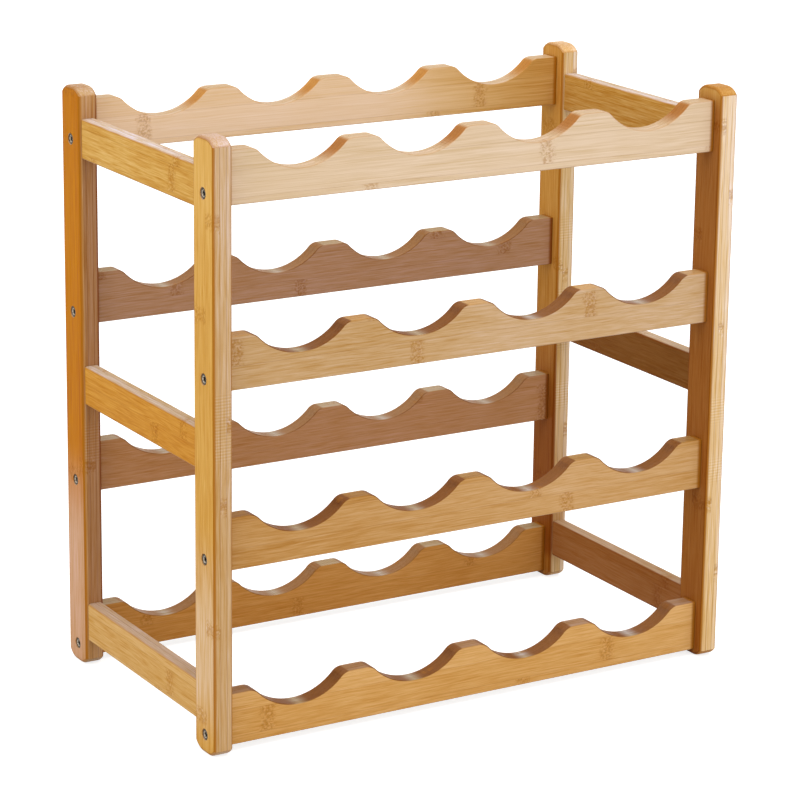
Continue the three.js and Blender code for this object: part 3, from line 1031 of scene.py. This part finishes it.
def cradle_colours(finish, face_name, tier):
    """The colours of a bottle rail's crests, troughs and slopes: painted shade darkens the slopes and the
    lower crests, and painted reflection makes the lower troughs greyish pale.
    """
    if tier == TIERS:
        top_slope = finish.back_top_slope if face_name == "back" else finish.top_slope
        return finish.crest_4, finish.crest_4, top_slope
    if face_name == "back":
        return finish.back_crest, finish.trough, finish.back_slope
    return getattr(finish, f"crest_{tier}"), finish.trough, finish.slope


def bottle_rail_cutters(fasteners, face_name, tier):
    """The holes in both ends of a bottle rail for its screws and dowels."""
    low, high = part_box(f"bottle_rail_{face_name}_{tier}")
    tools = []
    for side_name, side in SIDES.items():
        end = high.x if side > 0 else low.x
        for kind in ("screw", "dowel"):
            start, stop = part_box(f"{kind}_{face_name}_{side_name}_{tier}")
            tip = (start.x if side > 0 else stop.x) - side * fasteners.clearance
            diameter = fasteners.shank_diameter if kind == "screw" else stop.z - start.z
            radius = diameter / 2 + fasteners.clearance
            hole = turned(f"{kind} hole", [(end + side * RUN_PAST, radius), (tip, radius)])
            tools.append(moved(hole, (0, (start.y + stop.y) / 2, (start.z + stop.z) / 2)))
    return tools


# ---- Side rails ----
def side_rail_mesh(settings):
    """A side rail along Y about its middle, with a tenon on each end."""
    body = rounded_rectangle(SIDE_RAIL_SIZE.x, SIDE_RAIL_SIZE.z, settings.corner, settings.corner_steps)
    tenon = rounded_rectangle(
        settings.tenon_thickness, settings.tenon_height, settings.tenon_corner, settings.corner_steps
    )
    tip = SIDE_RAIL_SIZE.y / 2
    shoulder = tip - settings.tenon_length
    stations = [(-tip, tenon), (-shoulder, tenon), (-shoulder, body), (shoulder, body),
                (shoulder, tenon), (tip, tenon)]
    return loft("Side Rail", [[(x, y, z) for x, z in outline] for y, outline in stations])


# ---- Screws and dowels, by Geometry Nodes ----
def keep_local_place(mesh):
    """Stores each point's own place, which the turning marks and grain follow."""
    attribute = mesh.attributes.new("local_place", "FLOAT_VECTOR", "POINT")
    for item, vertex in zip(attribute.data, mesh.vertices):
        item.vector = vertex.co
    return mesh


def hexagon_ring(x, across_flats, sides):
    """A hexagon about the X axis with as many points as a turned ring."""
    sixth_turn = math.pi / 3
    ring = []
    for i in range(sides):
        angle = FULL_TURN * i / sides
        from_flat = angle % sixth_turn - sixth_turn / 2
        reach = across_flats / 2 / math.cos(from_flat)
        ring.append((x, reach * math.cos(angle), reach * math.sin(angle)))
    return ring


def screw_mesh(fasteners):
    """A screw along X, with the top of its head at 0 and its point towards -X."""
    sides = fasteners.turned_sides
    head = SCREW_SIZE.y / 2
    crest = fasteners.shank_diameter / 2
    root = crest - fasteners.thread_depth
    tip = -SCREW_SIZE.x
    top = -fasteners.head_height
    rounding = fasteners.head_rounding
    bottom_of_socket = -fasteners.socket_depth
    wall_foot = bottom_of_socket + fasteners.drill_cone
    drill_tip = 0.05 * fasteners.socket_width
    bevel = fasteners.socket_bevel
    rings = [
        hexagon_ring(bottom_of_socket, drill_tip, sides),
        hexagon_ring(wall_foot, fasteners.socket_width, sides),
        hexagon_ring(-bevel, fasteners.socket_width, sides),
        hexagon_ring(0, fasteners.socket_width + 2 * bevel, sides),
    ]
    rim = arc(0, 0, rounding, QUARTER_TURN, 0, fasteners.rounding_steps)
    rings += [turned_ring(up - rounding, head - rounding + out, sides) for out, up in rim]
    rings += [turned_ring(top, head, sides), turned_ring(top, crest, sides)]
    start = top - fasteners.plain_shank
    rings.append(turned_ring(start, crest, sides))
    quarter = fasteners.thread_pitch / 4
    crest_share = 0.5  # of the pitch, between the roots on both sides of a crest
    steps = int((start - tip - fasteners.point_length) / quarter)
    for step in range(1, steps):
        x = start - step * quarter
        ring = []
        for i in range(sides):
            angle = FULL_TURN * i / sides
            phase = (x / fasteners.thread_pitch + i / sides) % 1
            reach = root + (crest - root) * max(0.0, 1 - abs(phase - 0.5) * 2 / crest_share)
            ring.append((x, reach * math.cos(angle), reach * math.sin(angle)))
        rings.append(ring)
    rings.append(turned_ring(tip + fasteners.point_length, root, sides))
    rings.append(turned_ring(tip, fasteners.point_radius, sides))
    return keep_local_place(loft("Screw", rings))


def dowel_mesh(fasteners):
    """A fluted dowel along X, about its middle."""
    half = DOWEL_SIZE.x / 2
    radius = DOWEL_SIZE.z / 2
    chamfer = fasteners.dowel_chamfer
    sides = 2 * fasteners.turned_sides
    rings = [turned_ring(-half, radius - chamfer, sides)]
    for x in (-half + chamfer, half - chamfer):
        rings.append(turned_ring(x, radius, sides, fasteners.flute_count, fasteners.flute_depth))
    rings.append(turned_ring(half, radius - chamfer, sides))
    return keep_local_place(loft("Dowel", rings))


def corner_fasteners_tree():
    """Stands one piece at every joint of a post with a bottle rail, facing out of the rack."""
    tree, at, output = new_group(
        "Corner Fasteners", "GeometryNodeTree",
        {"Geometry": "Geometry", "Piece": "Object", "Reach": "Float DISTANCE",
         "Setback": "Float DISTANCE", "First Height": "Float DISTANCE", "Tier Pitch": "Float DISTANCE",
         "Tiers": "Int", "Seed": "Int", "Material": "Material"},
        {"Geometry": "Geometry"},
    )
    index = Wire(add_node(tree, "GeometryNodeInputIndex").outputs[0])
    side = (index / 2).math("FRACT") * 4 - 1
    pair = (index / 2 + NUDGE).math("FLOOR")
    face = (pair / 2).math("FRACT") * 4 - 1
    tier = (index / 4 + NUDGE).math("FLOOR")
    place = combine(
        tree, side * at["Reach"], face * at["Setback"], at["First Height"] + tier * at["Tier Pitch"]
    )
    points = add_node(tree, "GeometryNodePoints", {"Count": at["Tiers"] * 4, "Position": place})
    chance = add_node(tree, "FunctionNodeRandomValue", data_type="FLOAT")
    tree.links.new(at["Seed"].socket, chance.inputs["Seed"])
    spin = Wire(chance.outputs[1]) * FULL_TURN
    half_turn = (1 - side) * QUARTER_TURN
    info = add_node(tree, "GeometryNodeObjectInfo", {"Object": at["Piece"]})
    turned_to = add_node(
        tree, "FunctionNodeEulerToRotation", {"Euler": combine(tree, spin, 0.0, half_turn)}
    )
    copies = add_node(
        tree, "GeometryNodeInstanceOnPoints",
        {"Points": Wire(points.outputs[0]), "Instance": Wire(info.outputs["Geometry"]),
         "Rotation": Wire(turned_to.outputs[0])},
    )
    return finish_geometry(tree, at, output, Wire(copies.outputs[0]))


def stand_fasteners(kind, master, reach, material, seed):
    """One copy of the master at each joint, as one piece that stands for all its CAD nodes."""
    first = middle_and_size(f"{kind}_front_left_1")[0]
    second = middle_and_size(f"{kind}_front_left_2")[0]
    pattern = show("Pattern", master)
    tree = bpy.data.node_groups.get("Corner Fasteners") or corner_fasteners_tree()
    mesh = run_tree(f"{kind}s", tree, {
        "Piece": pattern, "Reach": reach, "Setback": -first.y, "First Height": first.z,
        "Tier Pitch": second.z - first.z, "Tiers": TIERS, "Seed": seed, "Material": material,
    })
    bpy.data.meshes.remove(master)
    nodes = [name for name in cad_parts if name.startswith(kind + "_")]
    return finish_piece(f"{kind}s", mesh, material, nodes)


def bamboo_tree():
    """The shared bamboo group, built once."""
    return bpy.data.node_groups.get("Laminated Bamboo") or bamboo_group(strips_group(), fibres_group())


# ---- Operators ----
class RACK_OT_posts(bpy.types.Operator):
    """Build the four posts, with rounded edges, arched ends, bores and mortises"""

    bl_idname = "wine_rack.posts"
    bl_label = "Build Posts"

    def execute(self, context):
        settings = context.scene.wine_rack
        finish = settings.finish
        seed = finish.post_seed
        for face_name, face in FACES.items():
            for side_name, side in SIDES.items():
                corner = f"{face_name}_{side_name}"
                node = f"post_{corner}"
                flat, rim, end = [getattr(finish, f"{corner}_{part}") for part in ("post", "edge", "end")]
                board = Board(
                    "y", "z", 5 * MM, 0.5, flat, rim, rim, end, end_lean=(0.15, 0.5), arris=0.9,
                    grain=1.35, fibre_length=0.65, bundles=0.08, warmth=1.0, flat_drift=0.12,
                    edge_drift=0.16 if face < 0 else 0.0, turn=0.0, uneven=0.4, gloss=0.0,
                )
                # Painted floor reflection on the outer sides, painted shade from the bottles on the inner
                # sides, and painted floor light easing that shade at the back posts' feet.
                pale, foot = (0.6, 60 * MM) if face < 0 else (0.4, 0.0)
                shelter = 1.0 if face < 0 else 0.5  # how much of the inner tint the inner edge takes
                shade = (finish.far_shade_full, finish.far_shade_top) if corner == "back_right" else None
                inward = Vector((-side, -face * shelter, 0))
                lit = 0.0 if face < 0 else 0.5
                wood = bamboo(node, board, finish, inward, seed, pale, foot, shade, lit)
                middle = middle_and_size(node)[0]
                blank = moved(post_blank(settings.posts), middle)
                mesh = cut(blank, post_cutters(settings, (face_name, side_name), middle))
                finish_piece(f"{node}_bamboo", mesh, wood, [node])
                seed += 1
        return {"FINISHED"}


class RACK_OT_bottle_rails(bpy.types.Operator):
    """Build the eight bottle rails with their cradles"""

    bl_idname = "wine_rack.bottle_rails"
    bl_label = "Build Bottle Rails"

    def execute(self, context):
        settings = context.scene.wine_rack
        finish, rails = settings.finish, settings.bottle_rails
        tree = bottle_rail_tree()
        seed = finish.bottle_rail_seed
        for face_name, face in FACES.items():
            for tier in range(1, TIERS + 1):
                node = f"bottle_rail_{face_name}_{tier}"
                middle, size = middle_and_size(node)
                crest, trough, slope = cradle_colours(finish, face_name, tier)
                top = tier == TIERS
                top_back = top and face > 0
                drift = 0.14 if face < 0 and tier in (2, 3) else 0.04
                # On a bottle rail the edge, low edge and end colours are the painted crests, troughs and
                # slopes.
                board = Board(
                    "z", "x", 4.7 * MM, 0.5, getattr(finish, f"{face_name}_rail_{tier}"),
                    crest, trough, slope, end_lean=(0.3, 0.62) if top else (-0.03, 0.2), arris=0.3,
                    grain=0.6 if top else 1.1, fibre_length=1.1 if top else 0.4,
                    bundles=0.09, warmth=0.6 if top and not top_back else 0.9,
                    # The top back rail turns darker and warmer towards its right end: painted reflection
                    # of the orange side rail.
                    flat_drift=-0.66 if top_back else drift, edge_drift=0.0 if top or face > 0 else 0.24,
                    turn=0.5 if top_back else 0.0, uneven=0.2 if top else 0.35, gloss=0.1,
                )
                # How much painted shade from the bottles each tier's inner side takes.
                shelter = {1: 0.4, TIERS: 0.1}.get(tier, 0.6)
                wood = bamboo(node, board, finish, Vector((0, -face * shelter, 0)), seed)
                blank = run_tree(node, tree, {
                    "Length": size.x, "Thickness": size.y, "Height": size.z,
                    "Cradles": rails.cradle_count, "Cradle Pitch": rails.cradle_pitch,
                    "Cradle Radius": rails.cradle_radius, "Cradle Depth": rails.cradle_depth,
                    "Shoulder Radius": rails.shoulder_radius, "Easing": rails.easing,
                    "Trough Steps": rails.trough_steps, "Shoulder Steps": rails.shoulder_steps,
                    "Easing Steps": rails.easing_steps,
                    "Place": (middle.x, middle.y, middle.z - size.z / 2), "Material": wood,
                })
                mesh = cut(blank, bottle_rail_cutters(settings.fasteners, face_name, tier))
                finish_piece(f"{node}_bamboo", mesh, wood, [node])
                seed += 1
        return {"FINISHED"}


class RACK_OT_side_rails(bpy.types.Operator):
    """Build the six side rails with their tenons"""

    bl_idname = "wine_rack.side_rails"
    bl_label = "Build Side Rails"

    def execute(self, context):
        settings = context.scene.wine_rack
        finish = settings.finish
        seed = finish.side_rail_seed
        for side_name, side in SIDES.items():
            for level in LEVELS:
                rim = getattr(finish, f"side_rim_{level}")
                # The right middle rail takes a darker copy of the middle tone: painted shade.
                in_shade = (side_name, level) == ("right", "middle")
                flat = finish.side_rail_shaded if in_shade else getattr(finish, f"side_rail_{level}")
                grain = {"bottom": 1.0, "middle": 1.4, "top": 1.75}[level]
                board = Board(
                    "z", "y", 5.8 * MM, 0.0, flat, rim, rim, rim, end_lean=(0.15, 0.5), arris=0.4,
                    grain=grain, fibre_length=0.35, bundles=0.12, warmth=1.0, flat_drift=0.0,
                    edge_drift=0.0, turn=0.0, uneven=0.4, gloss=0.0,
                )
                node = f"side_rail_{side_name}_{level}"
                middle = middle_and_size(node)[0]
                # How much painted shade from the bottles the inner side takes.
                shelter = 0.42 if level == "top" else 1.0
                wood = bamboo(node, board, finish, Vector((-side * shelter, 0, 0)), seed)
                mesh = moved(side_rail_mesh(settings.side_rails), middle)
                finish_piece(f"{node}_bamboo", mesh, wood, [node])
                seed += 1
        return {"FINISHED"}


class RACK_OT_fasteners(bpy.types.Operator):
    """Build the sixteen hexagon socket screws and the sixteen dowels"""

    bl_idname = "wine_rack.fasteners"
    bl_label = "Build Screws and Dowels"

    def execute(self, context):
        settings = context.scene.wine_rack
        fasteners, finish = settings.fasteners, settings.finish
        screw_seed, dowel_seed = 5, 9
        head_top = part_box("screw_front_right_1")[1].x
        dowel_middle = middle_and_size("dowel_front_right_1")[0].x
        stand_fasteners(
            "screw", screw_mesh(fasteners), head_top, steel(finish), screw_seed
        )
        stand_fasteners(
            "dowel", dowel_mesh(fasteners), dowel_middle, beech(finish), dowel_seed
        )
        return {"FINISHED"}


class RACK_OT_stage(bpy.types.Operator):
    """Lay the floor and set the lights, the white room and the camera"""

    bl_idname = "wine_rack.stage"
    bl_label = "Set Stage"

    def execute(self, context):
        settings = context.scene.wine_rack.stage
        context.scene.view_settings.view_transform = "Standard"
        lay_floor()
        hang_lights()
        paint_room(settings)
        set_camera(settings)
        return {"FINISHED"}


def seen_rays(tree):
    """1 for rays that show a thing directly, in a mirror or through glass, and 0 for light."""
    path = add_node(tree, "ShaderNodeLightPath")
    rays = [Wire(path.outputs[name]) for name in (
        "Is Camera Ray", "Is Glossy Ray", "Is Transmission Ray")]
    return rays[0].math("MAXIMUM", rays[1]).math("MAXIMUM", rays[2])


def lay_floor():
    """A wide pale floor that looks white away from the rack's shadow."""
    half, grey = 12.0, 0.6
    near_glow, glow_ramp = 0.75, (0.6, 2.5)
    mesh = bpy.data.meshes.new("Floor")
    corners = [(-half, -half, 0), (half, -half, 0), (half, half, 0), (-half, half, 0)]
    mesh.from_pydata(corners, [], [(0, 1, 2, 3)])
    floor = show("Floor", mesh)
    material, tree, shader = new_material("Floor")
    shader.inputs["Base Color"].default_value = (grey, grey, grey, 1)
    shader.inputs["Roughness"].default_value = 1
    shader.inputs["Specular IOR Level"].default_value = 0
    place = Wire(add_node(tree, "ShaderNodeTexCoord").outputs["Object"])
    far = Wire(add_node(tree, "ShaderNodeVectorMath", [place], operation="LENGTH").outputs["Value"])
    glow = near_glow + (1 - far.fade(*glow_ramp)) * (1 - near_glow)
    shader.inputs["Emission Color"].default_value = (1, 1, 1, 1)
    tree.links.new((glow * seen_rays(tree)).socket, shader.inputs["Emission Strength"])
    mesh.materials.append(material)
    arrange(tree)


def hang_lights():
    """Large soft lamps: one overhead, one on the left and one in front. Each has its place, its
    width in metres and its power in watts."""
    target = Vector((0, 0, 0.2))
    lamps = {
        "Overhead": ((0.1, -0.2, 2.3), 2.4, 26),
        "Left": ((-2.4, -0.4, 1.1), 1.6, 18),
        "Front": ((0.6, -2.8, 1.3), 1.8, 14),
    }
    for name, (place, size, power) in lamps.items():
        data = bpy.data.lights.new(name, "AREA")
        data.size = size
        data.energy = power
        lamp = bpy.data.objects.new(name, data)
        lamp.location = place
        lamp.rotation_euler = (target - Vector(place)).to_track_quat("-Z", "Y").to_euler()
        lamp.visible_camera = False
        bpy.context.scene.collection.objects.link(lamp)


def paint_room(settings):
    """A white world that lights the rack at the ambient strength."""
    world = bpy.data.worlds.new("White Room")
    world.use_nodes = True
    tree = world.node_tree
    background = next(node for node in tree.nodes if node.type == "BACKGROUND")
    background.inputs["Color"].default_value = (1, 1, 1, 1)
    strength = settings.ambient + seen_rays(tree) * (1 - settings.ambient)
    tree.links.new(strength.socket, background.inputs["Strength"])
    arrange(tree)
    bpy.context.scene.world = world


def set_camera(settings):
    """The camera looks at its aim from its angles and distance."""
    data = bpy.data.cameras.new("Camera")
    data.sensor_width = 36
    data.lens = settings.focal_length
    data.shift_x, data.shift_y = settings.shift
    camera = bpy.data.objects.new("Camera", data)
    level = math.cos(settings.elevation)
    back = Vector((
        math.sin(settings.azimuth) * level, -math.cos(settings.azimuth) * level,
        math.sin(settings.elevation),
    ))
    turn = (-back).to_track_quat("-Z", "Y").to_matrix() @ Matrix.Rotation(settings.roll, 3, "Z")
    camera.matrix_world = Matrix.LocRotScale(
        Vector(settings.aim) + back * settings.distance, turn, None
    )
    bpy.context.scene.collection.objects.link(camera)
    bpy.context.scene.camera = camera


BUILD_STEPS = (RACK_OT_posts, RACK_OT_bottle_rails, RACK_OT_side_rails, RACK_OT_fasteners, RACK_OT_stage)


class RACK_PT_panel(bpy.types.Panel):
    """Lists the operators that build the rack"""

    bl_idname = "RACK_PT_panel"
    bl_label = "Bamboo Wine Rack"
    bl_space_type = "VIEW_3D"
    bl_region_type = "UI"
    bl_category = "Wine Rack"

    def draw(self, context):
        for step in BUILD_STEPS:
            self.layout.operator(step.bl_idname)


CLASSES = (
    PostSettings, BottleRailSettings, SideRailSettings, FastenerSettings, FinishSettings, StageSettings,
    RackSettings, *BUILD_STEPS, RACK_PT_panel,
)


def register():
    for item in CLASSES:
        bpy.utils.register_class(item)
    bpy.types.Scene.wine_rack = PointerProperty(type=RackSettings)


def unregister():
    del bpy.types.Scene.wine_rack
    for item in reversed(CLASSES):
        bpy.utils.unregister_class(item)


def main():
    register()
    bpy.ops.wine_rack.posts()
    bpy.ops.wine_rack.bottle_rails()
    bpy.ops.wine_rack.side_rails()
    bpy.ops.wine_rack.fasteners()
    bpy.ops.wine_rack.stage()


if __name__ == "__main__":
    main()
